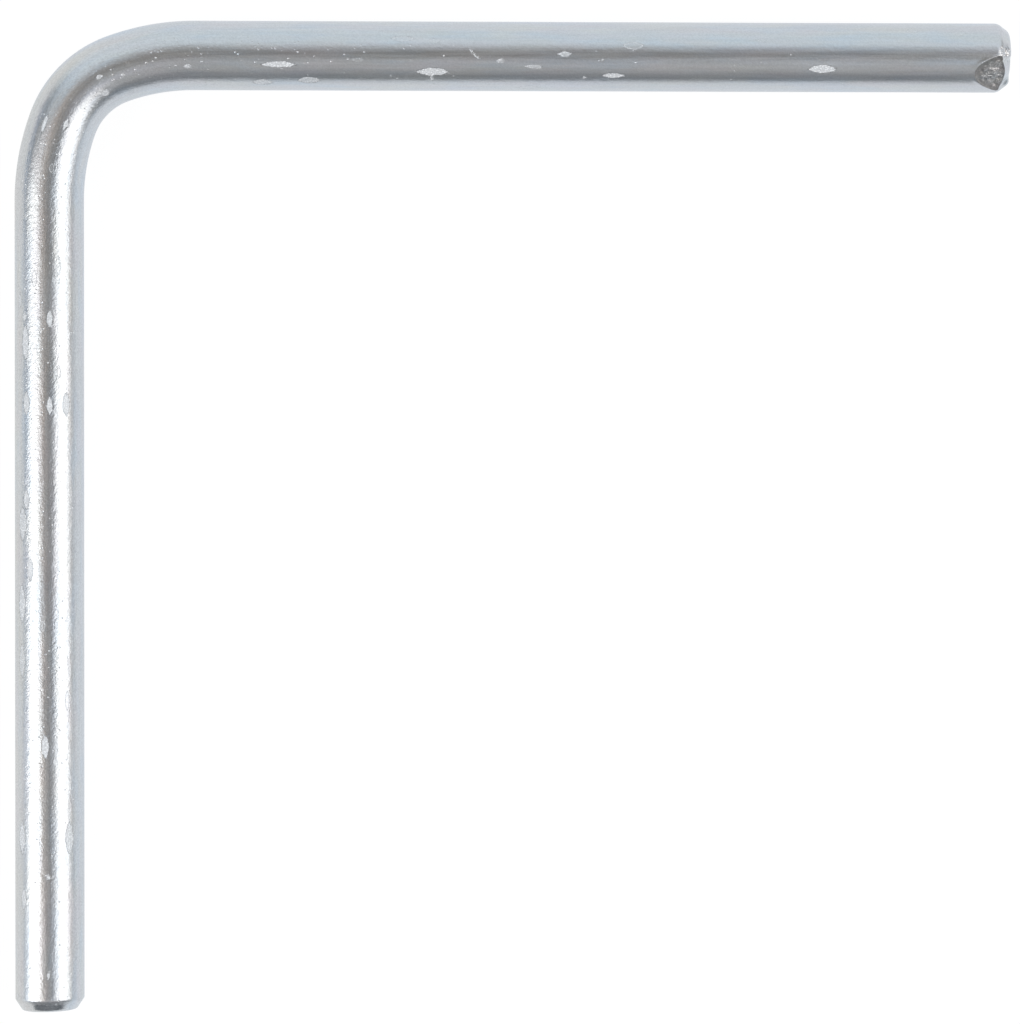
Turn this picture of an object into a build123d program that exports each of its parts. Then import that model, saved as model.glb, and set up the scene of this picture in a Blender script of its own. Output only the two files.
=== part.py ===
from build123d import *
import math
import os

# A locking pin: one round steel rod, bent to a right angle and bright zinc plated.
# It lies flat, as it comes to rest on a bench. The pin leg runs along +X, the handle
# leg along -Y, and the origin is the bottom centre of the box around the whole rod.
# All sizes are in millimetres.

ROD_DIAMETER = 8.0
PIN_LEG_LENGTH = 115.0  # from the outside of the handle leg to the pin leg's tip
HANDLE_LEG_LENGTH = 114.5  # from the outside of the pin leg to the handle leg's end

# The bend is tight in the middle, and an easier arc leads into it from each leg.
WHOLE_BEND = 90.0  # degrees
EASY_BEND = 20.0  # degrees, for each of the two easier arcs
EASY_BEND_RADIUS = 26.0  # to the rod's axis
TIGHT_BEND_RADIUS = 10.5  # to the rod's axis

# Each end is chamfered all round, and both edges of the chamfer are rolled over.
CHAMFER_ALONG_ROD = 1.4
CHAMFER_INTO_END = 1.0
WALL_EDGE_RADIUS = 1.2
END_EDGE_RADIUS = 0.8

# A flat at the pin leg's tip slants into the rod, deeper towards the tip.
FLAT_LENGTH = 4.4  # along the rod, from the tip
FLAT_SLOPE = 16.0  # degrees from the rod's axis
FLAT_ROLL = 38.5
FLAT_CUTTER_SIZE = 2 * ROD_DIAMETER

rod_radius = ROD_DIAMETER / 2

# Where the axes of the two legs cross.
corner = Vector(rod_radius - PIN_LEG_LENGTH / 2, HANDLE_LEG_LENGTH / 2 - rod_radius, rod_radius)
handle_end = corner - Vector(0, HANDLE_LEG_LENGTH - rod_radius, 0)
pin_tip = corner + Vector(PIN_LEG_LENGTH - rod_radius, 0, 0)


def bend_set_back():
    """Distance along each leg's axis from the crossing to where its bend starts."""
    whole = math.radians(WHOLE_BEND)
    easy = math.radians(EASY_BEND)
    from_tight = TIGHT_BEND_RADIUS * (math.sin(whole - easy) - math.sin(easy))
    from_easy = EASY_BEND_RADIUS * (math.sin(easy) + math.sin(whole) - math.sin(whole - easy))
    return from_tight + from_easy


def rod_axis():
    """The rod's centre line, from the handle leg's end round the bend to the pin tip."""
    tight_bend = WHOLE_BEND - 2 * EASY_BEND
    handle_leg = Line(handle_end, corner - Vector(0, bend_set_back(), 0))
    easy_in = JernArc(handle_leg @ 1, handle_leg % 1, EASY_BEND_RADIUS, -EASY_BEND)
    tight = JernArc(easy_in @ 1, easy_in % 1, TIGHT_BEND_RADIUS, -tight_bend)
    easy_out = JernArc(tight @ 1, tight % 1, EASY_BEND_RADIUS, -EASY_BEND)
    pin_leg = Line(easy_out @ 1, pin_tip)
    stretches = (handle_leg, easy_in, tight, easy_out, pin_leg)
    return Wire([stretch.edge() for stretch in stretches])


def bent_rod():
    """The rod with plain square ends."""
    path = rod_axis()
    return sweep(Plane(origin=path @ 0, z_dir=path % 0) * Circle(rod_radius), path=path)


def is_full_circle(edge):
    """Whether an edge goes once round the rod's wall."""
    return math.isclose(edge.length, math.pi * ROD_DIAMETER, abs_tol=0.01)


def finish_end(rod, end_centre):
    """Chamfer the end of the rod whose face is centred on end_centre, and roll its edges over."""
    end_face = rod.faces().sort_by_distance(end_centre)[0]
    rod = chamfer(end_face.edges(), CHAMFER_INTO_END, CHAMFER_ALONG_ROD, reference=end_face)
    end_face = rod.faces().sort_by_distance(end_centre)[0]
    rod = fillet(end_face.edges(), END_EDGE_RADIUS)
    full_circles = rod.edges().filter_by(is_full_circle)
    return fillet(full_circles.sort_by_distance(end_centre)[0], WALL_EDGE_RADIUS)


def tip_flat_cutter():
    """The block whose underside cuts the slanted flat at the pin leg's tip."""
    roll = math.radians(FLAT_ROLL)
    outward = Vector(0, -math.sin(roll), math.cos(roll))
    start = pin_tip - Vector(FLAT_LENGTH, 0, 0) + outward * rod_radius
    slope = math.radians(FLAT_SLOPE)
    normal = outward * math.cos(slope) + Vector(1, 0, 0) * math.sin(slope)
    flat = Plane(origin=start, z_dir=normal)
    side = FLAT_CUTTER_SIZE
    return flat * Box(side, side, side, align=(Align.CENTER, Align.CENTER, Align.MIN))


def locking_pin():
    """The whole pin: bent, with finished ends and the flat at its tip."""
    rod = bent_rod()
    rod = finish_end(rod, handle_end)
    rod = finish_end(rod, pin_tip)
    return rod - tip_flat_cutter()


os.makedirs("parts", exist_ok=True)
export_step(locking_pin(), "parts/locking_pin.step")
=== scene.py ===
"""Dresses a bent, bright zinc-plated locking pin around its CAD frame, in a pale studio.

The pin is first built straight, where every place on it is a distance along the rod and
an angle around it. Its ends, its slanted tip flat and the contact marks of the plating
barrel are shaped there, and then the whole mesh is bent round the corner of the rod.
Lengths are in millimetres until a mesh or the studio is placed, which is in metres.
"""

import logging
import math
from dataclasses import dataclass, field
from enum import Enum

import bmesh
import bpy
import numpy as np
from mathutils import Euler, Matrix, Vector, noise

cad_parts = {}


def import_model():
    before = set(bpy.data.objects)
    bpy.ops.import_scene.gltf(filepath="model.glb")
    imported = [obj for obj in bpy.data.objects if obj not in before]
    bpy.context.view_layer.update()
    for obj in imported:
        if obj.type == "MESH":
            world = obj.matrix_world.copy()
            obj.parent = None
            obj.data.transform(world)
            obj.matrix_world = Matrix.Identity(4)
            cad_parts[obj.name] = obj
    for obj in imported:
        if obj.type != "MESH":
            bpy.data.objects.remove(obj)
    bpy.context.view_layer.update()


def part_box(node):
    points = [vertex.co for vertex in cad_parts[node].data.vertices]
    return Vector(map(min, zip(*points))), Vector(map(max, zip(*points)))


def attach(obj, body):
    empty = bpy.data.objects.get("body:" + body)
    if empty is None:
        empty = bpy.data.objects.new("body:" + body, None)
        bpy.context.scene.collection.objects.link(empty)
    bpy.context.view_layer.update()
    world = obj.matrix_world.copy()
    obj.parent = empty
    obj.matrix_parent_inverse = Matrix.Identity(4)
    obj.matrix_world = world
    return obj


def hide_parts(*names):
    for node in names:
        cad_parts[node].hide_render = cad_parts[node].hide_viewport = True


MM = 0.001
CAD_NODE = "locking_pin"
BODY = "root"

AROUND = 4.0  # millimetres of noise for each radian round the rod
DEEPEST_MARK = 0.022
FULL_DEPTH_WIDTH = 0.6  # a mark narrower than this is shallower too
RIM_SHARE = 0.35  # a mark's rim as a share of its depth

logger = logging.getLogger("locking_pin")


def smooth_step(low: float, high: float, value: np.ndarray) -> np.ndarray:
    """Rise smoothly from 0 at low to 1 at high.

    Args:
        low: Where the rise starts.
        high: Where the rise ends; it may be below low, for a fall.
        value: Numbers to map.

    Returns:
        The mapped numbers, each from 0 to 1.
    """
    share = np.clip((value - low) / (high - low), 0.0, 1.0)
    return share * share * (3.0 - 2.0 * share)


@dataclass(frozen=True)
class RodLine:
    """The rod's centre line: handle leg, easy arc, tight arc, easy arc, pin leg.

    Distances along it run from the handle leg's end to the pin leg's tip.
    """

    low: tuple[float, float, float]
    high: tuple[float, float, float]
    easy_radius: float = 26.0
    tight_radius: float = 10.5
    easy_turn: float = math.radians(20.0)
    whole_turn: float = math.radians(90.0)
    squeeze: float = 0.02

    @property
    def rod_radius(self) -> float:
        """Half the rod's thickness, as it lies flat."""
        return (self.high[2] - self.low[2]) / 2

    @property
    def set_back(self) -> float:
        """Distance from the crossing of the legs' axes to where each leg starts to bend."""
        easy, whole = self.easy_turn, self.whole_turn
        tight_part = self.tight_radius * (math.sin(whole - easy) - math.sin(easy))
        easy_part = self.easy_radius * (math.sin(easy) + math.sin(whole) - math.sin(whole - easy))
        return tight_part + easy_part

    @property
    def handle_run(self) -> float:
        """Length of the straight part of the handle leg."""
        return self.high[1] - self.low[1] - self.rod_radius - self.set_back

    @property
    def pin_run(self) -> float:
        """Length of the straight part of the pin leg."""
        return self.high[0] - self.low[0] - self.rod_radius - self.set_back

    @property
    def bend_length(self) -> float:
        """Length of the centre line round the whole bend."""
        tight_turn = self.whole_turn - 2 * self.easy_turn
        return 2 * self.easy_turn * self.easy_radius + tight_turn * self.tight_radius

    @property
    def length(self) -> float:
        """Length of the whole centre line."""
        return self.handle_run + self.bend_length + self.pin_run

    def stretches(self) -> list[tuple[float, float]]:
        """List the centre line's stretches.

        Returns:
            The length and the bend radius of each, where a straight one has radius 0.
        """
        tight_turn = self.whole_turn - 2 * self.easy_turn
        easy_arc = (self.easy_turn * self.easy_radius, self.easy_radius)
        tight_arc = (tight_turn * self.tight_radius, self.tight_radius)
        return [(self.handle_run, 0.0), easy_arc, tight_arc, easy_arc, (self.pin_run, 0.0)]

    def bend(self, straight: np.ndarray) -> np.ndarray:
        """Bend points of the straight rod to where they lie in the frame.

        Args:
            straight: Points as distance along the rod, towards the outside of the bend, and up.

        Returns:
            The same points in the frame.
        """
        along, outward, up = straight.T
        middle = self.handle_run + self.bend_length / 2
        nearness = np.clip(1.0 - np.abs(along - middle) / (self.bend_length / 2), 0.0, 1.0)
        outward = outward * (1.0 - self.squeeze * smooth_step(0.0, 1.0, nearness))
        placed = np.zeros_like(straight)
        placed[:, 2] = self.low[2] + self.rod_radius + up
        start = np.array([self.low[0] + self.rod_radius, self.low[1]])
        heading, passed = math.pi / 2, 0.0
        stretches = self.stretches()
        for number, (length, radius) in enumerate(stretches):
            here = np.ones(len(along), bool)
            if number > 0:
                here &= along >= passed
            if number < len(stretches) - 1:
                here &= along < passed + length
            centre, facing = self._walk(start, heading, radius, along[here] - passed)
            left = np.stack([-np.sin(facing), np.cos(facing)], axis=1)
            placed[here, :2] = centre + left * outward[here, None]
            end, turned = self._walk(start, heading, radius, np.array([length]))
            start, heading, passed = end[0], float(turned[0]), passed + length
        return placed

    @staticmethod
    def _walk(
        start: np.ndarray, heading: float, radius: float, distance: np.ndarray
    ) -> tuple[np.ndarray, np.ndarray]:
        """Follow one stretch from its start.

        Args:
            start: Where the stretch starts, in plan.
            heading: Direction there, in radians from +X.
            radius: Bend radius of a right-hand turn, or 0 for a straight stretch.
            distance: How far to go, for each point.

        Returns:
            The points reached, and the heading at each.
        """
        if radius == 0.0:
            direction = np.array([math.cos(heading), math.sin(heading)])
            return start + distance[:, None] * direction, np.full(len(distance), heading)
        facing = heading - distance / radius
        offset = np.stack(
            [math.sin(heading) - np.sin(facing), np.cos(facing) - math.cos(heading)], axis=1
        )
        return start + radius * offset, facing


@dataclass(frozen=True)
class Nose:
    """The outline of one chamfered end, from the middle of its face back to the wall."""

    chamfer_back: float = 1.4
    chamfer_in: float = 1.0
    wall_edge_radius: float = 1.2
    face_edge_radius: float = 0.75
    face_crown: float = 0.06
    reach: float = 2.4
    arc_points: int = 12

    def corner_points(
        self, before: Vector, corner: Vector, after: Vector, radius: float
    ) -> list[Vector]:
        """Round one corner of the outline.

        Args:
            before: The point before the corner.
            corner: The corner.
            after: The point after the corner.
            radius: Radius of the rounding.

        Returns:
            Points along the arc that takes the corner's place.
        """
        back, forth = (before - corner).normalized(), (after - corner).normalized()
        half_angle = back.angle(forth) / 2
        centre = corner + (back + forth).normalized() * radius / math.sin(half_angle)
        first = corner + back * radius / math.tan(half_angle) - centre
        last = corner + forth * radius / math.tan(half_angle) - centre
        shares = [number / self.arc_points for number in range(self.arc_points + 1)]
        return [centre + radius * first.slerp(last, share) for share in shares]

    def outline(self, rod_radius: float, count: int) -> np.ndarray:
        """Sample the outline evenly.

        Args:
            rod_radius: The rod's radius.
            count: How many points to give.

        Returns:
            Points as distance behind the end and distance from the axis.
        """
        face_middle = Vector((0.0, 0.0))
        face_edge = Vector((self.face_crown, rod_radius - self.chamfer_in))
        wall_edge = Vector((self.chamfer_back, rod_radius))
        wall = Vector((self.reach, rod_radius))
        points = [
            face_middle,
            *self.corner_points(face_middle, face_edge, wall_edge, self.face_edge_radius),
            *self.corner_points(face_edge, wall_edge, wall, self.wall_edge_radius),
            wall,
        ]
        corners = np.array([tuple(point) for point in points])
        steps = np.hypot(*np.diff(corners, axis=0).T)
        passed = np.concatenate([[0.0], np.cumsum(steps)])
        even = np.linspace(0.0, passed[-1], count)
        columns = [np.interp(even, passed, corners[:, column]) for column in (0, 1)]
        return np.stack(columns, axis=1)


@dataclass(frozen=True)
class TipFlat:
    """The slanted flat at the pin leg's tip, with its rolled lip and its steep nose."""

    length: float = 4.4
    slope: float = math.radians(16.3)
    roll: float = math.radians(-38.5)
    twist: float = math.radians(8.5)
    least_facing: float = 0.3
    edge_softness: float = 0.05
    lip_height: float = 0.03
    lip_width: float = 0.10
    lip_offset: float = 0.6
    lip_depth: float = 0.1
    lip_zone: float = 1.0
    lump_height: float = 0.10
    lump_size: float = 0.9
    lump_bias: float = 0.3
    lump_fade: float = 0.5
    lump_noise: tuple[float, float, int] = (0.7, 2.2, 5)
    steep_half_width: float = math.radians(28.0)
    steep_fade: float = math.radians(15.0)
    crumple_angle: float = math.radians(-1.0)
    crumple_half_width: float = math.radians(14.0)
    crumple_fade: float = 0.12
    crumple_run: tuple[float, float] = (1.45, 1.2)
    crumple_size: float = 0.45
    crumple_depth: float = 0.09
    crumple_seed: float = 7.0
    crumple_noise: tuple[float, float, int] = (0.8, 2.0, 3)
    steep_nose: Nose = field(
        default_factory=lambda: Nose(
            chamfer_back=1.55, chamfer_in=1.95, wall_edge_radius=0.4, face_edge_radius=0.5
        )
    )

    def crumpling(self, from_tip: np.ndarray, angle: np.ndarray) -> np.ndarray:
        """Depth of the hammered dents beside the flat's highest corner.

        Args:
            from_tip: Distance back from the tip.
            angle: Angle round the rod.

        Returns:
            The depth at each point.
        """
        away = np.abs(angle - self.crumple_angle)
        half_width = self.crumple_half_width
        share = smooth_step(half_width + self.crumple_fade, half_width, away)
        share *= smooth_step(*self.crumple_run, from_tip)
        depth = np.zeros(len(angle))
        for number in np.flatnonzero(share > 0.0):
            spot = Vector((from_tip[number], AROUND * angle[number], self.crumple_seed))
            depth[number] = noise.fractal(spot / self.crumple_size, *self.crumple_noise)
        return depth * share * self.crumple_depth

    def steepness(self, angle: np.ndarray) -> np.ndarray:
        """Find how far the nose's outline is the steep one.

        Args:
            angle: Angle round the rod.

        Returns:
            The steep outline's share at each point, from 0 to 1.
        """
        away = np.abs(np.angle(np.exp(1j * (angle - self.roll))))
        return 1.0 - smooth_step(self.steep_half_width, self.steep_half_width + self.steep_fade, away)

    def reach(self, rod_radius: float, from_tip: np.ndarray, angle: np.ndarray) -> np.ndarray:
        """Distance from the rod's axis to the flat.

        Args:
            rod_radius: The rod's radius.
            from_tip: Distance back from the tip.
            angle: Angle round the rod.

        Returns:
            The distance to the flat in that direction, or a large one where it faces away.
        """
        depth = (self.length - from_tip) * math.tan(self.slope)
        facing = np.cos(angle - self.roll - self.twist * from_tip / self.length)
        distance = (rod_radius - depth) / np.maximum(facing, self.least_facing)
        far_away = 10 * rod_radius
        return np.where(facing > self.least_facing, distance, far_away)


class Leg(Enum):
    """Which leg of the pin a contact mark lies on."""

    PIN = "pin leg"
    HANDLE = "handle leg"


class Touch(Enum):
    """How hard a contact mark was struck."""

    FAINT = 0.45
    CLEAR = 0.8
    HARD = 1.0
    SCRATCH = 0.9


@dataclass(frozen=True)
class Mark:
    """One spot where another pin pressed or slid while it was plated in the barrel."""

    leg: Leg
    from_end: float
    angle: float
    length: float
    width: float
    touch: Touch = Touch.CLEAR
    tilt: float = 0.0

    @property
    def depth(self) -> float:
        """How deep the mark is pressed, which grows with its width."""
        return DEEPEST_MARK * self.touch.value * min(1.0, self.width / FULL_DEPTH_WIDTH)

    @property
    def rim(self) -> float:
        """Height of the metal pushed up round the mark."""
        return RIM_SHARE * self.depth


def pin_leg_marks() -> list[Mark]:
    """List the contact marks of the pin leg.

    Each row gives a mark's distance from the leg's tip, its angle round the rod in degrees,
    its length, its width and its touch, and a tilt in degrees where it has one.

    Returns:
        The marks.
    """
    faint, clear, hard, scratch = Touch
    rows = [
        (6.2, 43, 1.7, 0.5, faint),
        (11.5, 48, 1.6, 0.4, faint),
        (22.0, -22, 3.3, 1.0, hard),
        (29.0, 26, 1.0, 0.4, faint),
        (43.8, 16, 2.5, 0.85, faint),
        (46.1, -35, 2.7, 0.6, hard),
        (49.6, -41, 1.0, 0.2, scratch, 55),
        (51.7, 2, 1.6, 0.45, clear),
        (55.3, -19, 2.1, 0.4, clear),
        (55.8, -66, 2.3, 0.8, faint),
        (59.1, -9, 0.9, 0.35, clear),
        (62.1, 0, 2.1, 0.13, scratch, -48),
        (66.9, -29, 3.7, 1.0, hard),
        (67.0, -39, 0.9, 0.3, scratch, 85),
        (66.7, 24, 1.4, 0.5, faint),
        (70.3, 27, 2.7, 0.65, faint),
        (75.5, -9, 1.2, 0.4, faint),
        (81.1, -47, 2.5, 0.95, clear),
        (84.6, -17, 4.1, 0.7, hard),
        (86.4, -52, 2.3, 0.9, clear),
        (95.1, -20, 0.9, 0.5, clear),
        (102.9, -15, 0.6, 0.35, hard),
        (105.6, -2, 0.7, 0.6, clear),
        (106.0, -31, 1.2, 0.8, clear),
    ]
    return [Mark(Leg.PIN, *row) for row in rows]


def handle_leg_marks() -> list[Mark]:
    """List the contact marks of the handle leg.

    Each row gives a mark's distance from the leg's end, its angle round the rod in degrees,
    its length, its width and its touch, and a tilt in degrees where it has one.

    Returns:
        The marks.
    """
    faint, clear, hard, _ = Touch
    rows = [
        (1.9, 68, 0.8, 0.5, clear),
        (4.5, 0, 0.75, 0.35, hard),
        (13.2, 46, 2.4, 0.8, clear),
        (15.8, -1, 0.45, 0.35, hard),
        (20.3, 50, 3.8, 1.05, hard),
        (20.3, -37, 3.7, 1.1, clear),
        (30.9, 5, 2.7, 0.85, hard),
        (36.2, -33, 2.3, 0.6, faint),
        (40.7, 50, 3.8, 1.0, clear),
        (44.8, 8, 1.2, 0.35, faint),
        (47.3, 50, 4.3, 1.15, hard),
        (51.2, 31, 2.7, 0.75, clear),
        (56.5, 48, 4.0, 1.3, clear),
        (59.3, 39, 2.3, 0.85, hard),
        (61.4, 36, 1.6, 0.6, faint),
        (70.1, -3, 2.1, 0.65, hard),
        (70.3, -31, 2.8, 0.9, clear),
        (70.4, 39, 2.7, 0.85, hard),
        (74.0, -18, 1.6, 0.5, faint),
        (77.4, 41, 4.0, 0.95, hard),
        (80.1, -3, 2.0, 0.7, hard),
        (80.3, 43, 0.9, 0.5, clear),
        (82.2, 55, 1.5, 0.55, clear),
        (84.7, 23, 2.0, 0.65, faint),
        (86.2, -17, 2.3, 0.7, faint),
        (97.4, -3, 1.1, 0.6, faint),
        (99.2, 20, 1.7, 0.5, faint),
        (102.0, 27, 2.1, 0.5, hard),
        (102.7, -8, 1.5, 0.4, hard),
    ]
    return [Mark(Leg.HANDLE, *row) for row in rows]


@dataclass(frozen=True)
class Wiring:
    """Adds and joins nodes in one node tree."""

    tree: bpy.types.NodeTree

    def add(self, kind: str, settings: dict | None = None, **inputs: object) -> bpy.types.Node:
        """Add a node.

        Args:
            kind: The node's type.
            settings: Properties of the node itself.
            **inputs: Values or output sockets for its inputs, with _ for a space in a name.

        Returns:
            The new node.
        """
        node = self.tree.nodes.new(kind)
        for name, value in (settings or {}).items():
            setattr(node, name, value)
        for name, value in inputs.items():
            self.feed(node.inputs[name.replace("_", " ")], value)
        return node

    def feed(self, socket: bpy.types.NodeSocket, value: object) -> None:
        """Give an input socket what it needs.

        Args:
            socket: The input socket.
            value: An output socket to link to it, or else a value to set there.
        """
        if isinstance(value, bpy.types.NodeSocket):
            self.tree.links.new(value, socket)
        else:
            socket.default_value = value

    def math(self, operation: str, *values: object) -> bpy.types.NodeSocket:
        """Add a Math node.

        Args:
            operation: What it works out.
            *values: Numbers or output sockets, in order.

        Returns:
            Its result.
        """
        node = self.add("ShaderNodeMath", {"operation": operation})
        for socket, value in zip(node.inputs, values):
            self.feed(socket, value)
        return node.outputs[0]

    def scaled(self, vector: bpy.types.NodeSocket, *factors: float) -> bpy.types.NodeSocket:
        """Multiply a vector by a factor for each of its parts.

        Args:
            vector: The vector.
            *factors: The three factors.

        Returns:
            The scaled vector.
        """
        node = self.add("ShaderNodeVectorMath", {"operation": "MULTIPLY"})
        self.feed(node.inputs[0], vector)
        node.inputs[1].default_value = factors
        return node.outputs[0]

    def noise(
        self, place: bpy.types.NodeSocket, scale: object, detail: float, roughness: float = 0.5
    ) -> bpy.types.NodeSocket:
        """Add a noise texture.

        Args:
            place: Where it is looked up.
            scale: How fine it is.
            detail: How many finer layers it has.
            roughness: How strong the finer layers are.

        Returns:
            Its value, from 0 to 1.
        """
        node = self.add(
            "ShaderNodeTexNoise", Vector=place, Scale=scale, Detail=detail, Roughness=roughness
        )
        return node.outputs[0]

    def step(
        self,
        value: bpy.types.NodeSocket,
        low: float,
        high: float,
        to_low: float = 0.0,
        to_high: float = 1.0,
    ) -> bpy.types.NodeSocket:
        """Map a value smoothly from one range to another.

        Args:
            value: The value to map.
            low: Where the change starts.
            high: Where the change ends.
            to_low: The result at low.
            to_high: The result at high.

        Returns:
            The mapped value, which stays between to_low and to_high.
        """
        node = self.add(
            "ShaderNodeMapRange",
            {"interpolation_type": "SMOOTHSTEP"},
            Value=value,
            From_Min=low,
            From_Max=high,
            To_Min=to_low,
            To_Max=to_high,
        )
        return node.outputs["Result"]

    def mix(
        self, share: object, first: object, second: object, blend: str = "MIX"
    ) -> bpy.types.NodeSocket:
        """Blend two colours.

        Args:
            share: How much of the blend is taken, from 0 to 1.
            first: The first colour.
            second: The second colour.
            blend: How the second is laid on the first.

        Returns:
            The blended colour.
        """
        node = self.add("ShaderNodeMix", {"data_type": "RGBA", "blend_type": blend})
        self.feed(node.inputs["Factor"], share)
        colours = [socket for socket in node.inputs if socket.type == "RGBA"]
        self.feed(colours[0], first)
        self.feed(colours[1], second)
        return next(socket for socket in node.outputs if socket.type == "RGBA")

    def shaded(self, colour: object, level: object) -> bpy.types.NodeSocket:
        """Multiply a colour by a level.

        Args:
            colour: The colour.
            level: The level.

        Returns:
            The shaded colour.
        """
        return self.mix(1.0, colour, level, "MULTIPLY")


FLOAT = "NodeSocketFloat"
VECTOR = "NodeSocketVector"
COLOUR = "NodeSocketColor"


def new_group(
    name: str, inputs: list[tuple[str, str, object]], outputs: list[tuple[str, str]]
) -> tuple[bpy.types.NodeTree, Wiring, bpy.types.Node, bpy.types.Node]:
    """Make an empty shader node group.

    Args:
        name: The group's name.
        inputs: Name, socket type and default of each input.
        outputs: Name and socket type of each output.

    Returns:
        The group, its wiring, its input node and its output node.
    """
    group = bpy.data.node_groups.new(name, "ShaderNodeTree")
    for title, kind, default in inputs:
        socket = group.interface.new_socket(name=title, in_out="INPUT", socket_type=kind)
        if default is not None:
            socket.default_value = default
    for title, kind in outputs:
        group.interface.new_socket(name=title, in_out="OUTPUT", socket_type=kind)
    wiring = Wiring(group)
    return group, wiring, wiring.add("NodeGroupInput"), wiring.add("NodeGroupOutput")


@dataclass(frozen=True)
class PlatingGrain:
    """The plating's fine pebbled skin, with sparse sharper pips.

    Scales are shares of the skin's own. The Shade output lightens the colour at each pip, a painted
    glint of the lamps on its slopes.
    """

    slant: float = math.radians(35.0)
    stretch: float = 0.65
    skin_range: tuple[float, float] = (0.30, 0.70)
    broad_scale: float = 0.35
    broad_height: float = 1.2
    pip_scale: float = 0.42
    pip_edge: tuple[float, float] = (0.34, 0.05)
    pip_sizes: tuple[float, float, float, float] = (0.0, 0.8, 0.3, 1.0)
    pip_height: float = 1.4
    # how much each pip lightens the colour: a painted glint of the lamps on its slopes
    pip_painted_glint: float = 0.5

    def build(self) -> bpy.types.NodeTree:
        """Make the skin's node group.

        Returns:
            The group.
        """
        group, wiring, given, result = new_group(
            "plating_grain",
            [
                ("Position", VECTOR, None),
                ("Grain Size", FLOAT, 0.2),
                ("Skin Height", FLOAT, 1.0),
                ("Pip Share", FLOAT, 0.3),
            ],
            [("Height", FLOAT), ("Shade", FLOAT)],
        )
        place = given.outputs["Position"]
        scale = wiring.math("DIVIDE", 1.0, given.outputs["Grain Size"])
        slanted = wiring.add(
            "ShaderNodeVectorRotate",
            {"rotation_type": "EULER_XYZ"},
            Vector=place,
            Rotation=(0.0, 0.0, self.slant),
        )
        stretched = wiring.scaled(slanted.outputs[0], self.stretch, 1.0, 1.0)
        skin = wiring.noise(stretched, scale, 2.0, 0.55)
        broad = wiring.noise(stretched, wiring.math("MULTIPLY", scale, self.broad_scale), 1.0)
        pip_scale = wiring.math("MULTIPLY", scale, self.pip_scale)
        cells = wiring.add("ShaderNodeTexVoronoi", Vector=place, Scale=pip_scale, Randomness=1.0)
        chance = wiring.add("ShaderNodeSeparateColor", Color=cells.outputs["Color"])
        chosen = wiring.math("LESS_THAN", chance.outputs["Red"], given.outputs["Pip Share"])
        size = wiring.step(chance.outputs["Green"], *self.pip_sizes)
        inside = wiring.step(cells.outputs["Distance"], *self.pip_edge)
        pips = wiring.math("MULTIPLY", inside, wiring.math("MULTIPLY", chosen, size))
        base = wiring.math("MULTIPLY_ADD", broad, self.broad_height, skin)
        base = wiring.math("MULTIPLY", base, given.outputs["Skin Height"])
        height = wiring.math("MULTIPLY_ADD", pips, self.pip_height, base)
        shade = wiring.step(skin, *self.skin_range)
        wiring.feed(result.inputs["Height"], height)
        # Shade is the skin's own tone, plus a painted glint that lightens each pip
        wiring.feed(result.inputs["Shade"], wiring.math("MULTIPLY_ADD", pips, self.pip_painted_glint, shade))
        return group


@dataclass(frozen=True)
class DrawingLines:
    """The faint lines that drawing the bar left along it."""

    stretch: float = 0.035

    def build(self) -> bpy.types.NodeTree:
        """Make the lines' node group.

        Returns:
            The group.
        """
        group, wiring, given, result = new_group(
            "drawing_lines",
            [("Position", VECTOR, None), ("Fineness", FLOAT, 3.0)],
            [("Height", FLOAT)],
        )
        stretched = wiring.scaled(given.outputs["Position"], self.stretch, 1.0, 1.0)
        lines = wiring.noise(stretched, given.outputs["Fineness"], 3.0, 0.6)
        wiring.feed(result.inputs["Height"], lines)
        return group


@dataclass(frozen=True)
class PassivationTint:
    """The drifting blue, straw and rose casts of the passivation film.

    Each cast has the name of its colour input, a seed and its greatest share.
    """

    stretch: tuple[float, float, float] = (0.10, 0.55, 0.55)
    cloud_range: tuple[float, float] = (0.42, 0.68)
    casts: tuple[tuple[str, float, float], ...] = (
        ("Blue", 0.0, 0.8), ("Straw", 17.0, 0.5), ("Rose", 31.0, 0.5)
    )

    def build(self) -> bpy.types.NodeTree:
        """Make the casts' node group.

        Returns:
            The group.
        """
        group, wiring, given, result = new_group(
            "passivation_tint",
            [
                ("Position", VECTOR, None),
                ("Zinc", COLOUR, (0.7, 0.7, 0.7, 1)),
                ("Blue", COLOUR, (0.6, 0.7, 0.8, 1)),
                ("Straw", COLOUR, (0.8, 0.75, 0.6, 1)),
                ("Rose", COLOUR, (0.8, 0.7, 0.75, 1)),
            ],
            [("Color", COLOUR)],
        )
        stretched = wiring.scaled(given.outputs["Position"], *self.stretch)
        colour = given.outputs["Zinc"]
        for title, seed, share in self.casts:
            shifted = wiring.add("ShaderNodeVectorMath", {"operation": "ADD"})
            wiring.feed(shifted.inputs[0], stretched)
            shifted.inputs[1].default_value = (seed, seed, seed)
            cloud = wiring.noise(shifted.outputs[0], 1.0, 3.0, 0.6)
            amount = wiring.step(cloud, *self.cloud_range, 0.0, share)
            colour = wiring.mix(amount, colour, given.outputs[title])
        wiring.feed(result.inputs["Color"], colour)
        return group


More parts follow.
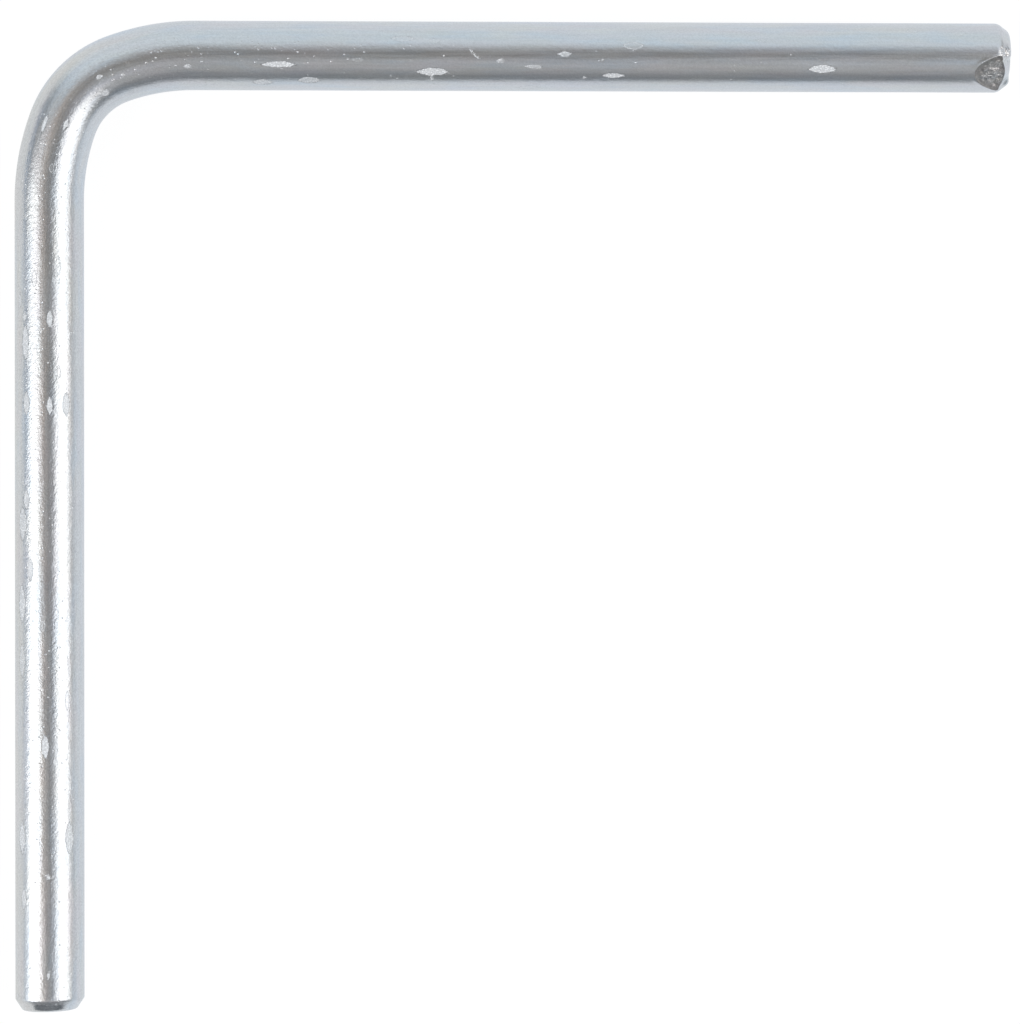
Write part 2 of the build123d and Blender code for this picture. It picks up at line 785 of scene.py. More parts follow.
@dataclass(frozen=True)
class ContactPitting:
    """The crushed, pitted floor of a contact mark, which is ragged round its edge.

    The ranges tell where on the way into a mark its rim, its floor and its spared core lie.
    A hard mark has no spared core.
    """

    edge_stretch: tuple[float, float, float] = (2.2, 5.0, 5.0)
    edge_shift: float = -0.48
    least_contact: float = 0.02
    floor_range: tuple[float, float] = (0.16, 0.26)
    core_range: tuple[float, float] = (0.35, 0.65)
    core_share: float = 1.5
    rim_outside: tuple[float, float] = (0.08, 0.16)
    rim_inside: tuple[float, float] = (0.34, 0.20)
    bead_stretch: tuple[float, float, float] = (1.0, 1.2, 1.2)
    bead_scale: float = 3.8
    bead_range: tuple[float, float] = (0.62, 0.10)
    fine_scale: float = 8.0
    fine_height: float = 0.7
    fine_shade: float = 0.5
    unevenness: float = 1.2

    def build(self) -> bpy.types.NodeTree:
        """Make the pitting's node group.

        Returns:
            The group.
        """
        group, wiring, given, result = new_group(
            "contact_pitting",
            [("Position", VECTOR, None), ("Contact", FLOAT, 0.0), ("Force", FLOAT, 1.0)],
            [("Mask", FLOAT), ("Height", FLOAT), ("Shade", FLOAT), ("Rim", FLOAT)],
        )
        place, contact, force = (given.outputs[name] for name in ("Position", "Contact", "Force"))
        ragged = wiring.noise(wiring.scaled(place, *self.edge_stretch), 1.0, 3.0, 0.7)
        inward = wiring.math("ADD", contact, wiring.math("ADD", ragged, self.edge_shift))
        near = wiring.math("GREATER_THAN", contact, self.least_contact)
        whole = wiring.math("MULTIPLY", wiring.step(inward, *self.floor_range), near)
        lightness = wiring.math("MULTIPLY_ADD", force, -self.core_share, self.core_share)
        spared = wiring.math("MULTIPLY", wiring.step(inward, *self.core_range), lightness)
        touched = wiring.math("MULTIPLY", whole, force)
        mask = wiring.math("MULTIPLY", touched, wiring.math("SUBTRACT", 1.0, spared))
        cells = wiring.add(
            "ShaderNodeTexVoronoi",
            Vector=wiring.scaled(place, *self.bead_stretch),
            Scale=self.bead_scale,
            Randomness=1.0,
        )
        beads = wiring.step(cells.outputs["Distance"], *self.bead_range)
        fine = wiring.noise(place, self.fine_scale, 2.0)
        height = wiring.math("MULTIPLY_ADD", fine, self.fine_height, beads)
        uneven = wiring.math("MULTIPLY_ADD", ragged, self.unevenness, -self.unevenness / 2)
        shade = wiring.math("MULTIPLY_ADD", fine, self.fine_shade, wiring.math("ADD", beads, uneven))
        outer = wiring.math("MULTIPLY", wiring.step(inward, *self.rim_outside), near)
        rim = wiring.math("MULTIPLY", outer, wiring.step(inward, *self.rim_inside))
        wiring.feed(result.inputs["Mask"], mask)
        wiring.feed(result.inputs["Height"], wiring.math("MULTIPLY", height, mask))
        wiring.feed(result.inputs["Shade"], shade)
        wiring.feed(result.inputs["Rim"], wiring.math("MULTIPLY", rim, force))
        return group


@dataclass(frozen=True)
class ShaderGroups:
    """The node groups that the pin's finishes share."""

    grain: bpy.types.NodeTree
    lines: bpy.types.NodeTree
    tint: bpy.types.NodeTree
    pitting: bpy.types.NodeTree

    @staticmethod
    def build() -> "ShaderGroups":
        """Make every group once.

        Returns:
            The groups.
        """
        looks = (PlatingGrain(), DrawingLines(), PassivationTint(), ContactPitting())
        return ShaderGroups(*[look.build() for look in looks])


def blank_material(name: str) -> tuple[bpy.types.Material, Wiring]:
    """Make a material without nodes.

    Args:
        name: The material's name.

    Returns:
        The material, and the wiring for its nodes.
    """
    material = bpy.data.materials.new(name)
    material.use_nodes = True
    material.node_tree.nodes.clear()
    return material, Wiring(material.node_tree)


@dataclass(frozen=True)
class ZincFinish:
    """Bright zinc plate over one kind of steel surface."""

    name: str
    zinc: tuple[float, float, float] = (0.650, 0.660, 0.665)
    blue: tuple[float, float, float] = (0.605, 0.655, 0.700)
    straw: tuple[float, float, float] = (0.675, 0.670, 0.635)
    rose: tuple[float, float, float] = (0.675, 0.650, 0.665)
    crushed: tuple[float, float, float] = (0.97, 0.98, 0.99)
    crushed_dark: tuple[float, float, float] = (0.72, 0.73, 0.74)
    crushed_metal: float = 0.15
    rim_darkness: float = 0.45
    roughness: float = 0.28
    roughness_spread: float = 0.04
    crushed_roughness: float = 0.50
    grain_size: float = 0.16
    grain_height: float = 0.022
    grain_contrast: float = 0.22
    pip_share: float = 0.24
    bend_start: float = 94.0
    bend_end: float = 121.0
    calm_margins: tuple[float, float] = (12.0, 15.0)
    pin_leg_calm: float = 0.5
    pip_margins: tuple[float, float] = (5.0, 10.0)
    pip_rise: tuple[float, float] = (0.7, 1.4)
    pip_fade: float = 35.0
    pin_leg_pips: float = 0.08
    line_height: float = 0.004
    line_contrast: float = 0.07
    line_fineness: float = 3.0
    line_range: tuple[float, float] = (0.3, 0.7)
    crushed_height: float = 0.040
    crushed_range: tuple[float, float] = (0.25, 0.95)

    def material(self, groups: ShaderGroups) -> bpy.types.Material:
        """Build the finish's material.

        Args:
            groups: The shared node groups.

        Returns:
            The material.
        """
        material, wiring = blank_material(self.name)
        place, contact, force = [
            wiring.add("ShaderNodeAttribute", {"attribute_name": name}).outputs[kind]
            for name, kind in (("rod_space", "Vector"), ("contact", "Fac"), ("force", "Fac"))
        ]
        start, end = self.bend_start, self.bend_end
        along = wiring.add("ShaderNodeSeparateXYZ", Vector=place).outputs["X"]
        before, after = self.calm_margins
        calm = wiring.step(along, start - before, end + after, 1.0, self.pin_leg_calm)
        # more pips near the bend, each a bump with a painted glint in its colour
        before, after = self.pip_margins
        at_bend = wiring.step(along, start - before, start + after, *self.pip_rise)
        few_pips = self.pin_leg_pips * self.pip_share
        pip_share = wiring.step(along, end, end + self.pip_fade, self.pip_share, few_pips)
        grain = wiring.add(
            "ShaderNodeGroup",
            {"node_tree": groups.grain},
            Position=place,
            Grain_Size=self.grain_size,
            Skin_Height=calm,
            Pip_Share=wiring.math("MULTIPLY", at_bend, pip_share),
        )
        lines = wiring.add(
            "ShaderNodeGroup",
            {"node_tree": groups.lines},
            Position=place,
            Fineness=self.line_fineness,
        )
        tint = wiring.add(
            "ShaderNodeGroup",
            {"node_tree": groups.tint},
            Position=place,
            Zinc=(*self.zinc, 1.0),
            Blue=(*self.blue, 1.0),
            Straw=(*self.straw, 1.0),
            Rose=(*self.rose, 1.0),
        )
        pitting = wiring.add(
            "ShaderNodeGroup",
            {"node_tree": groups.pitting},
            Position=place,
            Contact=contact,
            Force=force,
        )
        mask = pitting.outputs["Mask"]

        # the plate's colour follows the skin's tone, and is lightened at each pip as a painted glint
        contrast = wiring.math("MULTIPLY", calm, self.grain_contrast)
        about_one = wiring.math("SUBTRACT", grain.outputs["Shade"], 0.5)
        level = wiring.math("MULTIPLY_ADD", about_one, contrast, 1.0)
        drawn = lines.outputs["Height"]
        streaks = wiring.step(drawn, *self.line_range, 1.0 - self.line_contrast, 1.0)
        plate = wiring.shaded(tint.outputs["Color"], wiring.math("MULTIPLY", level, streaks))
        spots = wiring.step(pitting.outputs["Shade"], *self.crushed_range)
        crushed = wiring.mix(spots, (*self.crushed_dark, 1.0), (*self.crushed, 1.0))
        dulled = wiring.math("MULTIPLY_ADD", pitting.outputs["Rim"], -self.rim_darkness, 1.0)
        colour = wiring.shaded(wiring.mix(mask, plate, crushed), dulled)
        roughest = self.roughness + self.roughness_spread
        plain = wiring.step(drawn, *self.line_range, self.roughness, roughest)
        rougher = wiring.math("SUBTRACT", self.crushed_roughness, plain)
        normal = None
        for height, size in (
            (drawn, self.line_height),
            (grain.outputs["Height"], self.grain_height),
            (pitting.outputs["Height"], self.crushed_height),
        ):
            bump = wiring.add("ShaderNodeBump", Height=height, Distance=size * MM)
            if normal is not None:
                wiring.feed(bump.inputs["Normal"], normal)
            normal = bump.outputs["Normal"]
        shader = wiring.add(
            "ShaderNodeBsdfPrincipled",
            Base_Color=colour,
            Roughness=wiring.math("MULTIPLY_ADD", rougher, mask, plain),
            Metallic=wiring.math("MULTIPLY_ADD", mask, self.crushed_metal - 1.0, 1.0),
            Normal=normal,
        )
        wiring.add("ShaderNodeOutputMaterial", Surface=shader.outputs["BSDF"])
        return material


class Region(Enum):
    """The kinds of surface on the pin, in the order of its material slots."""

    WALL = 0
    NOSE = 1
    FLAT = 2


@dataclass(frozen=True)
class ShapedRod:
    """The vertices of the straight rod.

    Each has a place, how far inside a contact mark it lies, how hard that mark was struck,
    and how deep under the round wall the tip flat lies there.
    """

    straight: np.ndarray
    contact: np.ndarray
    force: np.ndarray
    cut: np.ndarray


@dataclass(frozen=True)
class LockingPin:
    """The bent rod: builds its mesh straight, shapes it, bends it and dresses it.

    Measures of a mark are in its own size, where its edge is at 1. Each refinement gives the
    margin round the marks, whether only scratches are refined, and the margin round the flat.
    """

    line: RodLine
    tip_nose: Nose = field(default_factory=Nose)
    handle_nose: Nose = field(
        default_factory=lambda: Nose(chamfer_in=0.84, wall_edge_radius=0.25, face_edge_radius=0.5)
    )
    flat: TipFlat = field(default_factory=TipFlat)
    marks: tuple[Mark, ...] = ()
    around: int = 72
    ring_gap: float = 0.45
    nose_rings: int = 40
    handle_end_tilt: float = 0.03
    handle_tilt_run: float = 6.0
    waviness: float = 0.012
    wave_length: float = 9.0
    wall_start: tuple[float, float] = (0.6, 0.98)
    mark_reach: float = 1.2
    mark_floor: float = 0.55
    rim_place: float = 1.08
    rim_width: float = 0.12
    end_power: float = 1.8
    side_power: float = 1.3
    bluntness: float = 0.08
    scratch_margin: float = 0.6
    flat_gap: float = 0.02
    flat_half_width: float = math.radians(52.0)
    nose_overlap: float = 0.35
    refinements: tuple[tuple[float, bool, float], ...] = (
        (1.5, False, 0.5), (1.25, False, 0.25), (1.1, True, 0.15)
    )

    def outline(self, tip_nose: Nose) -> np.ndarray:
        """Draw half of the rod's lengthwise section, from one end's middle to the other's.

        Args:
            tip_nose: The tip's chamfered outline.

        Returns:
            Rows of distance along the outline, distance along the rod, and radius.
        """
        radius, length = self.line.rod_radius, self.line.length
        end = self.handle_nose.outline(radius, self.nose_rings)
        tip = tip_nose.outline(radius, self.nose_rings)
        wall_run = length - self.handle_nose.reach - tip_nose.reach
        wall_count = round(wall_run / self.ring_gap)
        wall = np.linspace(self.handle_nose.reach, length - tip_nose.reach, wall_count + 1)[1:-1]
        along = np.concatenate([end[:, 0], wall, length - tip[::-1, 0]])
        radii = np.concatenate([end[:, 1], np.full(len(wall), radius), tip[::-1, 1]])
        steps = np.hypot(np.diff(along), np.diff(radii))
        return np.stack([np.concatenate([[0.0], np.cumsum(steps)]), along, radii])

    def mesh_in_outline_space(self, rows: np.ndarray) -> bmesh.types.BMesh:
        """Build a closed tube of rings, one for each row of the outline.

        Args:
            rows: Distance along the outline of each ring, the first and last being points.

        Returns:
            A mesh whose X is distance along the outline and whose Y and Z go round the rod.
        """
        radius = self.line.rod_radius
        mesh = bmesh.new()
        angles = [math.tau * number / self.around for number in range(self.around)]
        first = mesh.verts.new((rows[0], 0.0, 0.0))
        rings = [
            [mesh.verts.new((row, radius * math.sin(a), radius * math.cos(a))) for a in angles]
            for row in rows[1:-1]
        ]
        last = mesh.verts.new((rows[-1], 0.0, 0.0))
        for number in range(self.around):
            after = (number + 1) % self.around
            mesh.faces.new((first, rings[0][after], rings[0][number]))
            mesh.faces.new((last, rings[-1][number], rings[-1][after]))
            for near, far in zip(rings, rings[1:]):
                mesh.faces.new((near[number], near[after], far[after], far[number]))
        return mesh

    def mark_places(self) -> list[tuple[Mark, float, float]]:
        """Find where each mark lies.

        Returns:
            Each mark with its distance along the rod and its angle round it, in radians.
        """
        places = []
        for mark in self.marks:
            on_handle = mark.leg is Leg.HANDLE
            along = mark.from_end if on_handle else self.line.length - mark.from_end
            places.append((mark, along, math.radians(mark.angle)))
        return places

    def mark_distance(
        self, mark: Mark, along: float, angle: float, at: np.ndarray, turn: np.ndarray
    ) -> np.ndarray:
        """Measure how far points are from the middle of a mark, where its edge is at 1.

        Args:
            mark: The mark.
            along: The mark's distance along the rod.
            angle: The mark's angle round the rod.
            at: The points' distances along the rod.
            turn: The points' angles round the rod.

        Returns:
            The distances.
        """
        lengthwise = at - along
        across = self.line.rod_radius * np.angle(np.exp(1j * (turn - angle)))
        tilt = math.radians(mark.tilt)
        run = lengthwise * math.cos(tilt) + across * math.sin(tilt)
        side = across * math.cos(tilt) - lengthwise * math.sin(tilt)
        lengthwise_share = np.abs(run / (mark.length / 2)) ** self.end_power
        across_share = np.hypot(side / (mark.width / 2), self.bluntness) ** self.side_power
        return lengthwise_share + across_share

    def refine(self, mesh: bmesh.types.BMesh, outline: np.ndarray) -> None:
        """Split the faces under the marks and the tip flat.

        Args:
            mesh: The mesh in outline space, which is changed.
            outline: The rod's outline.
        """
        for mark_margin, scratches_only, flat_margin in self.refinements:
            faces = list(mesh.faces)
            middles = np.array([face.calc_center_median() for face in faces])
            at = np.interp(middles[:, 0], outline[0], outline[1])
            turn = np.arctan2(middles[:, 1], middles[:, 2])
            chosen = np.zeros(len(faces), bool)
            for mark, along, angle in self.mark_places():
                if scratches_only and mark.touch is not Touch.SCRATCH:
                    continue
                margin = mark_margin
                if mark.touch is Touch.SCRATCH:
                    margin += self.scratch_margin
                chosen |= self.mark_distance(mark, along, angle, at, turn) < margin
            from_tip = self.line.length - at
            away = np.abs(np.angle(np.exp(1j * (turn - self.flat.roll))))
            round_flat = away < self.flat_half_width + flat_margin / self.line.rod_radius
            behind_tip = (from_tip > self.flat_gap) & (from_tip < self.flat.length + flat_margin)
            chosen |= round_flat & behind_tip
            edges = {edge for face, pick in zip(faces, chosen) if pick for edge in face.edges}
            bmesh.ops.subdivide_edges(
                mesh, edges=sorted(edges, key=lambda edge: edge.index), cuts=1, use_grid_fill=True
            )
            mesh.verts.index_update()
            mesh.edges.index_update()
            mesh.faces.index_update()
            logger.info("refined to %d faces", len(mesh.faces))

    def shape(self, points: np.ndarray) -> ShapedRod:
        """Turn points in outline space into the shaped straight rod.

        Args:
            points: Vertices in outline space.

        Returns:
            The straight rod's points and what is known of each.
        """
        plain = self.outline(self.tip_nose)
        turn = np.arctan2(points[:, 1], points[:, 2])
        position = points[:, 0]
        along = np.interp(position, plain[0], plain[1])
        radius = np.interp(position, plain[0], plain[2])
        steep = self.outline(self.flat.steep_nose)
        share = self.flat.steepness(turn)
        at_tip = position > plain[0, -1] / 2
        on_steep = np.where(at_tip, steep[0, -1] - plain[0, -1] + position, position)
        along += share * (np.interp(on_steep, steep[0], steep[1]) - along)
        radius += share * (np.interp(on_steep, steep[0], steep[2]) - radius)
        is_wall = smooth_step(*self.wall_start, radius / self.line.rod_radius)

        contact = np.zeros(len(points))
        force = np.zeros(len(points))
        for mark, mark_along, mark_angle in self.mark_places():
            distance = self.mark_distance(mark, mark_along, mark_angle, along, turn)
            inside = np.clip(self.mark_reach - distance, 0.0, 1.0)
            force = np.where(inside > contact, mark.touch.value, force)
            contact = np.maximum(contact, inside)
            floor = mark.depth * (1.0 - smooth_step(self.mark_floor, 1.0, distance))
            rim = mark.rim * np.exp(-(((distance - self.rim_place) / self.rim_width) ** 2))
            radius -= (floor - rim) * is_wall
        radius -= self.flat.crumpling(self.line.length - along, turn)
        spots = np.stack([along / self.wave_length, np.sin(turn), np.cos(turn)], axis=1)
        wave = [noise.noise(Vector(spot)) for spot in spots]
        radius -= self.waviness * is_wall * (0.5 + 0.5 * np.array(wave))

        radius, cut = self._cut_flat(along, radius, turn)
        outward = radius * np.sin(turn)
        up = radius * np.cos(turn)
        near_handle_end = 1.0 - smooth_step(0.0, self.handle_tilt_run, along)
        along = along + near_handle_end * self.handle_end_tilt * (self.line.rod_radius - outward)
        return ShapedRod(np.stack([along, outward, up], axis=1), contact, force, cut)

    def _cut_flat(
        self, along: np.ndarray, radius: np.ndarray, turn: np.ndarray
    ) -> tuple[np.ndarray, np.ndarray]:
        """Cut the slanted flat into the tip, and raise its lip.

        Args:
            along: Distance along the rod of each point.
            radius: Distance from the axis of each point.
            turn: Angle round the rod of each point.

        Returns:
            The new distance from the axis, and the depth cut away, below 0 where none is.
        """
        flat = self.flat
        reach = flat.reach(self.line.rod_radius, self.line.length - along, turn)
        cut = radius - reach
        near = np.abs(cut) < flat.lip_zone
        lumps = np.zeros(len(radius))
        for number in np.flatnonzero(near | (cut > 0)):
            angle = turn[number]
            spot = Vector((along[number], AROUND * math.sin(angle), AROUND * math.cos(angle)))
            lumps[number] = noise.fractal(spot / flat.lump_size, *flat.lump_noise)
        floor = smooth_step(0.0, flat.lump_fade, cut)
        reach = reach - flat.lump_height * (flat.lump_bias + lumps) * floor
        blend = np.clip(0.5 + (radius - reach) / flat.edge_softness / 2, 0.0, 1.0)
        shaped = radius + (reach - radius) * blend
        from_lip = (cut + flat.lip_offset * flat.lip_width) / flat.lip_width
        on_wall = smooth_step(0.9, 1.0, radius / self.line.rod_radius)
        lip = flat.lip_height * np.exp(-(from_lip**2)) * on_wall * (cut < flat.lip_depth)
        return shaped + np.where(near, lip, 0.0), cut

    def build(self, materials: dict[Region, bpy.types.Material]) -> bpy.types.Object:
        """Build the finished pin.

        Args:
            materials: The material of each kind of surface.

        Returns:
            The pin's object, in the frame.
        """
        outline = self.outline(self.tip_nose)
        work = self.mesh_in_outline_space(outline[0])
        self.refine(work, outline)
        points = np.array([vertex.co for vertex in work.verts])
        rod = self.shape(points)
        placed = self.line.bend(rod.straight) * MM
        for vertex, co in zip(work.verts, placed):
            vertex.co = co
        self._sort_faces(work, rod)
        bmesh.ops.recalc_face_normals(work, faces=list(work.faces))
        mesh = bpy.data.meshes.new("plated_pin")
        work.to_mesh(mesh)
        work.free()
        for region in Region:
            mesh.materials.append(materials[region])
        mesh.shade_smooth()
        mesh.attributes.new("rod_space", "FLOAT_VECTOR", "POINT").data.foreach_set(
            "vector", rod.straight.astype(np.float32).ravel()
        )
        for name, values in (("contact", rod.contact), ("force", rod.force)):
            mesh.attributes.new(name, "FLOAT", "POINT").data.foreach_set(
                "value", values.astype(np.float32)
            )
        pin = bpy.data.objects.new("plated_pin", mesh)
        bpy.context.scene.collection.objects.link(pin)
        triangles = sum(len(polygon.vertices) - 2 for polygon in mesh.polygons)
        logger.info("plated_pin: %d triangles", triangles)
        return pin

    def _sort_faces(self, mesh: bmesh.types.BMesh, rod: ShapedRod) -> None:
        """Give each face the material slot of its region.

        Args:
            mesh: The pin's mesh, which is changed.
            rod: Its vertices on the straight rod.
        """
        nose_back = self.tip_nose.chamfer_back - self.nose_overlap
        for face in mesh.faces:
            spots = [vertex.index for vertex in face.verts]
            along = rod.straight[spots, 0].mean()
            if rod.cut[spots].mean() > 0.0:
                face.material_index = Region.FLAT.value
            elif min(along, self.line.length - along) < nose_back:
                face.material_index = Region.NOSE.value


@dataclass(frozen=True)
class Softbox:
    """An oval lamp that faces the pin from one side."""

    name: str
    lean: float  # degrees from straight up, towards +X
    distance: float
    width: float
    y_low: float
    y_high: float
    roll: float  # degrees about the lamp's own axis
    radiance: float
    colour: tuple[float, float, float] = (0.97, 0.985, 1.0)

    def build(self) -> bpy.types.Object:
        """Hang the lamp, whose power is its radiance times pi times its area.

        Returns:
            The lamp's object.
        """
        lean = math.radians(self.lean)
        lamp = bpy.data.lights.new(self.name, "AREA")
        lamp.shape = "ELLIPSE"
        lamp.size = self.width
        lamp.size_y = self.y_high - self.y_low
        lamp.energy = self.radiance * math.pi * lamp.size * lamp.size_y * math.pi / 4
        lamp.color = self.colour
        holder = bpy.data.objects.new(self.name, lamp)
        holder.location = (
            self.distance * math.sin(lean),
            (self.y_low + self.y_high) / 2,
            self.distance * math.cos(lean),
        )
        swing = Euler((0.0, lean, 0.0)).to_matrix()
        roll = Euler((0.0, 0.0, math.radians(self.roll))).to_matrix()
        holder.rotation_euler = (swing @ roll).to_euler()
        holder.visible_camera = False
        bpy.context.scene.collection.objects.link(holder)
        return holder


@dataclass(frozen=True)
class Strip:
    """A coloured strip of tent cloth that runs from front to back beside a lamp."""

    from_lean: float  # degrees from straight up, towards +X
    to_lean: float
    colour: tuple[float, float, float]


@dataclass(frozen=True)
class Tent:
    """The light tent round the table: a dome of soft tones that the metal reflects.

    Each range is in degrees, from where a tone starts to show to where it is full.
    """

    radius: float = 2.5
    rings: int = 48
    segments: int = 96
    overhead: tuple[float, float, float] = (0.50, 0.50, 0.505)
    camera_port: tuple[float, float, float] = (0.19, 0.18, 0.17)
    port_axis: tuple[float, float, float] = (0.05, 0.10, 0.994)
    back_wall: tuple[float, float, float] = (0.82, 0.91, 0.98)
    front: tuple[float, float, float] = (0.29, 0.30, 0.32)
    front_low: tuple[float, float, float] = (0.14, 0.16, 0.18)
    side_low: tuple[float, float, float] = (0.22, 0.22, 0.22)
    port_range: tuple[float, float] = (24.0, 8.0)
    back_spread: tuple[float, float] = (62.0, 44.0)
    back_heights: tuple[float, float] = (62.0, 52.0)
    front_spread: tuple[float, float] = (95.0, 60.0)
    front_heights: tuple[float, float] = (50.0, 24.0)
    front_low_heights: tuple[float, float] = (24.0, 8.0)
    side_low_heights: tuple[float, float] = (30.0, 12.0)
    strip_blur: float = 2.0
    strip_ends: tuple[float, float] = (0.6, 0.3)  # share of the way to the front or back
    strips: tuple[Strip, ...] = (
        Strip(-90.0, -79.0, (0.22, 0.34, 0.52)),
        Strip(-28.0, -18.0, (0.46, 0.34, 0.26)),
        Strip(9.0, 19.0, (0.20, 0.30, 0.46)),
        Strip(70.0, 80.0, (0.36, 0.26, 0.19)),
        Strip(80.0, 90.0, (0.40, 0.49, 0.57)),
    )

    def tone(self, direction: np.ndarray) -> np.ndarray:
        """Colour of the tent seen from the pin.

        Args:
            direction: Unit vectors from the pin.

        Returns:
            The colour in each direction.
        """
        x, y, z = direction.T
        elevation = np.degrees(np.arcsin(np.clip(z, -1.0, 1.0)))
        from_back = np.degrees(np.abs(np.arctan2(x, y)))
        from_front = 180.0 - from_back
        from_port = np.degrees(np.arccos(np.clip(direction @ np.array(self.port_axis), -1.0, 1.0)))
        lean = np.degrees(np.arctan2(x, z))
        front = smooth_step(*self.front_spread, from_front)
        back = smooth_step(*self.back_spread, from_back) * smooth_step(*self.back_heights, elevation)
        layers = [
            (self.side_low, smooth_step(*self.side_low_heights, elevation)),
            (self.front, front * smooth_step(*self.front_heights, elevation)),
            (self.front_low, front * smooth_step(*self.front_low_heights, elevation)),
        ]
        sideways = smooth_step(*self.strip_ends, np.abs(y))
        blur = self.strip_blur
        for strip in self.strips:
            inside = smooth_step(strip.from_lean - blur, strip.from_lean + blur, lean)
            inside *= smooth_step(strip.to_lean + blur, strip.to_lean - blur, lean)
            layers.append((strip.colour, inside * sideways))
        layers.append((self.back_wall, back))
        layers.append((self.camera_port, smooth_step(*self.port_range, from_port)))
        colour = np.tile(np.array(self.overhead), (len(x), 1))
        for layer, share in layers:
            colour += (np.array(layer) - colour) * share[:, None]
        return colour

    def build(self) -> bpy.types.Object:
        """Build the dome, which the camera looks through.

        Returns:
            The dome's object.
        """
        shell = bmesh.new()
        bmesh.ops.create_uvsphere(
            shell, u_segments=self.segments, v_segments=self.rings, radius=self.radius
        )
        below = [vertex for vertex in shell.verts if vertex.co.z < -0.01]
        bmesh.ops.delete(shell, geom=below, context="VERTS")
        mesh = bpy.data.meshes.new("light_tent")
        shell.to_mesh(mesh)
        shell.free()
        points = np.array([vertex.co for vertex in mesh.vertices])
        tones = self.tone(points / np.linalg.norm(points, axis=1)[:, None])
        colours = np.column_stack([tones, np.ones(len(tones))]).astype(np.float32)
        mesh.attributes.new("tone", "FLOAT_COLOR", "POINT").data.foreach_set("color", colours.ravel())
        material, wiring = blank_material("tent_cloth")
        tone = wiring.add("ShaderNodeAttribute", {"attribute_name": "tone"})
        glow = wiring.add("ShaderNodeEmission", Color=tone.outputs["Color"])
        wiring.add("ShaderNodeOutputMaterial", Surface=glow.outputs[0])
        material.cycles.emission_sampling = "NONE"
        mesh.materials.append(material)
        tent = bpy.data.objects.new("light_tent", mesh)
        tent.visible_camera = False
        tent.visible_shadow = False
        bpy.context.scene.collection.objects.link(tent)
        return tent


def white_to_the_eye(wiring: Wiring) -> bpy.types.NodeSocket:
    """Tell apart the rays that look at a surface from those that only light it.

    Args:
        wiring: The wiring of the node tree.

    Returns:
        1 for rays that come from the camera or by gloss or glass, and 0 for others.
    """
    path = wiring.add("ShaderNodeLightPath")
    seen = wiring.math("MAXIMUM", path.outputs["Is Camera Ray"], path.outputs["Is Glossy Ray"])
    return wiring.math("MAXIMUM", seen, path.outputs["Is Transmission Ray"])


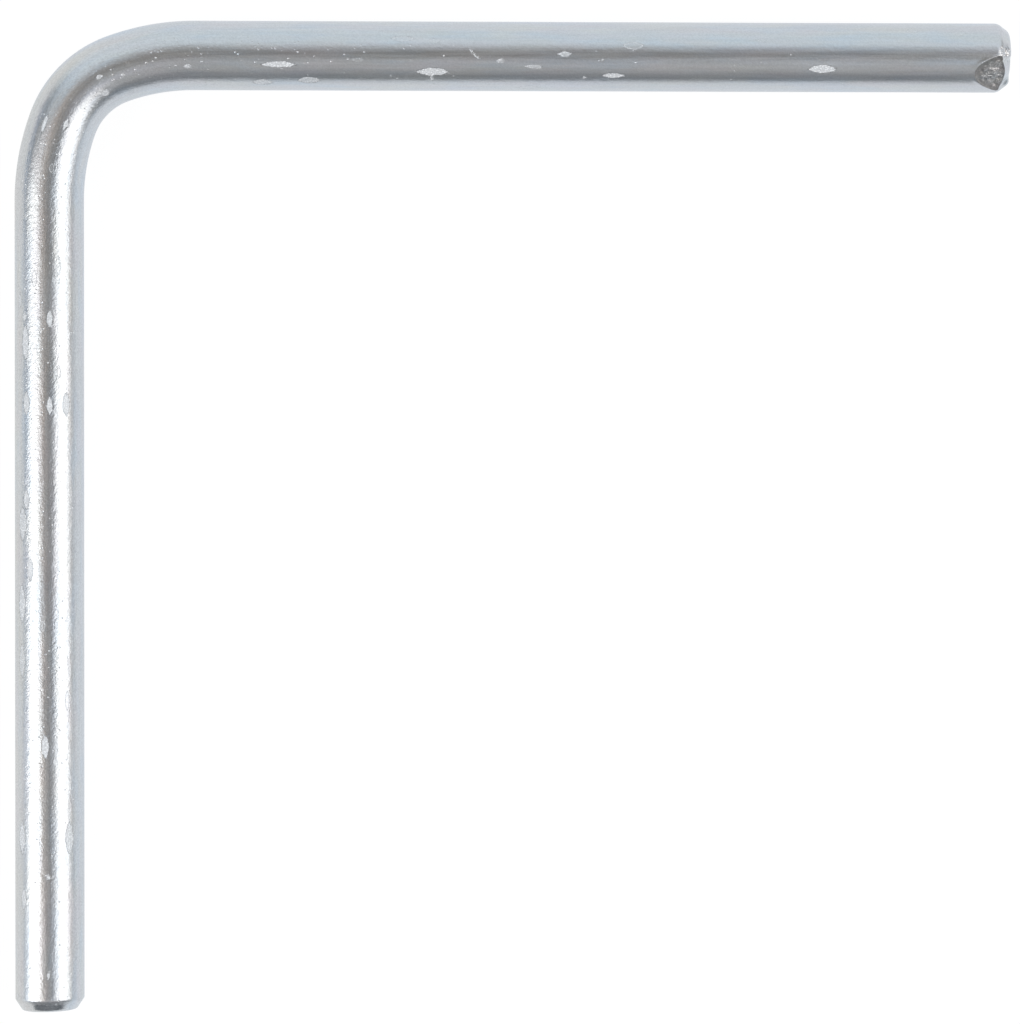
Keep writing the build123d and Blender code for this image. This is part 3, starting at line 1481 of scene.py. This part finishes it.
@dataclass(frozen=True)
class Studio:
    """The pale floor, the world, the tent, the two softboxes and the camera."""

    floor_half_size: float = 4.0
    floor_drop: float = 0.00004
    floor_albedo: float = 0.85
    floor_white_share: float = 0.88
    floor_white: tuple[float, float, float] = (1.06, 1.06, 1.06)
    floor_cool: tuple[float, float, float] = (0.90, 0.95, 1.01)
    floor_warm: tuple[float, float, float] = (0.94, 0.95, 0.95)
    floor_warm_edge: tuple[float, float] = (-0.062, -0.050)
    world_level: float = 0.45
    tent: Tent = field(default_factory=Tent)
    softboxes: tuple[Softbox, ...] = (
        Softbox("left_softbox", -53.6, 1.243, 1.24, -0.86, 0.10, 6.4, 2.2),
        Softbox("right_softbox", 46.0, 1.161, 1.20, -0.83, 0.48, 22.0, 1.55),
    )
    lens: float = 200.0
    sensor_width: float = 36.0
    clip_start: float = 0.05
    clip_end: float = 20.0
    camera_place: tuple[float, float, float] = (-0.02354, 0.02141, 0.6624)
    camera_tilt: tuple[float, float, float] = (-1.815, -2.021, 0.0945)

    def build_floor(self) -> bpy.types.Object:
        """Lay the pale floor, which keeps the pin's shadow.

        Returns:
            The floor's object.
        """
        half = self.floor_half_size
        mesh = bpy.data.meshes.new("floor")
        corners = [(-half, -half, 0), (half, -half, 0), (half, half, 0), (-half, half, 0)]
        mesh.from_pydata(corners, [], [(0, 1, 2, 3)])
        material, wiring = blank_material("pale_floor")
        albedo = self.floor_albedo
        matt = wiring.add("ShaderNodeBsdfDiffuse", Color=(albedo, albedo, albedo, 1.0))
        place = wiring.add("ShaderNodeNewGeometry").outputs["Position"]
        sideways = wiring.add("ShaderNodeSeparateXYZ", Vector=place).outputs["X"]
        rightness = wiring.step(sideways, *self.floor_warm_edge)
        mirrored = wiring.mix(rightness, (*self.floor_warm, 1.0), (*self.floor_cool, 1.0))
        direct = wiring.add("ShaderNodeLightPath").outputs["Is Camera Ray"]
        seen = wiring.mix(direct, mirrored, (*self.floor_white, 1.0))
        white = wiring.add("ShaderNodeEmission", Color=seen)
        share = wiring.math("MULTIPLY", white_to_the_eye(wiring), self.floor_white_share)
        mixed = wiring.add("ShaderNodeMixShader", Fac=share)
        wiring.feed(mixed.inputs[1], matt.outputs[0])
        wiring.feed(mixed.inputs[2], white.outputs[0])
        wiring.add("ShaderNodeOutputMaterial", Surface=mixed.outputs[0])
        material.cycles.emission_sampling = "NONE"
        mesh.materials.append(material)
        floor = bpy.data.objects.new("floor", mesh)
        floor.location.z = -self.floor_drop
        bpy.context.scene.collection.objects.link(floor)
        return floor

    def build_world(self) -> bpy.types.World:
        """Make the world, which is white wherever it is looked at.

        Returns:
            The world.
        """
        world = bpy.data.worlds.new("studio")
        world.use_nodes = True
        world.node_tree.nodes.clear()
        wiring = Wiring(world.node_tree)
        seen = white_to_the_eye(wiring)
        strength = wiring.math("MULTIPLY_ADD", seen, 1.0 - self.world_level, self.world_level)
        background = wiring.add("ShaderNodeBackground", Color=(1.0, 1.0, 1.0, 1.0), Strength=strength)
        wiring.add("ShaderNodeOutputWorld", Surface=background.outputs[0])
        bpy.context.scene.world = world
        return world

    def build_camera(self) -> bpy.types.Object:
        """Hang the camera straight above the pin.

        Returns:
            The camera's object.
        """
        lens = bpy.data.cameras.new("camera")
        lens.lens = self.lens
        lens.sensor_width = self.sensor_width
        lens.clip_start = self.clip_start
        lens.clip_end = self.clip_end
        camera = bpy.data.objects.new("camera", lens)
        camera.location = self.camera_place
        camera.rotation_euler = Euler([math.radians(angle) for angle in self.camera_tilt])
        bpy.context.scene.collection.objects.link(camera)
        bpy.context.scene.camera = camera
        return camera

    def build(self) -> None:
        """Set up the whole studio."""
        self.build_floor()
        self.build_world()
        self.tent.build()
        for softbox in self.softboxes:
            softbox.build()
        self.build_camera()
        scene = bpy.context.scene
        scene.view_settings.view_transform = "Standard"
        logger.info("studio: floor, tent, %d softboxes, camera", len(self.softboxes))


def main() -> None:
    """Load the frame, dress the pin and set up the studio."""
    logging.basicConfig(level=logging.INFO, format="%(name)s: %(message)s")
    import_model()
    low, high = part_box(CAD_NODE)
    line = RodLine(tuple(value / MM for value in low), tuple(value / MM for value in high))

    groups = ShaderGroups.build()
    finishes = {
        Region.WALL: ZincFinish("zinc_on_drawn_wall"),
        Region.NOSE: ZincFinish("zinc_on_turned_end", roughness=0.18, grain_height=0.006),
        Region.FLAT: ZincFinish(
            "zinc_on_sheared_flat",
            zinc=(0.46, 0.44, 0.42),
            blue=(0.43, 0.435, 0.44),
            straw=(0.46, 0.44, 0.40),
            rose=(0.45, 0.42, 0.41),
            roughness=0.32,
            grain_size=0.34,
            grain_height=0.019,
            grain_contrast=0.30,
            pip_share=0.6,
            pin_leg_calm=1.0,
        ),
    }
    materials = {region: finish.material(groups) for region, finish in finishes.items()}
    marks = tuple(pin_leg_marks() + handle_leg_marks())
    pin = LockingPin(line, marks=marks).build(materials)
    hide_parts(CAD_NODE)
    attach(pin, BODY)
    Studio().build()


if __name__ == "__main__":
    main()
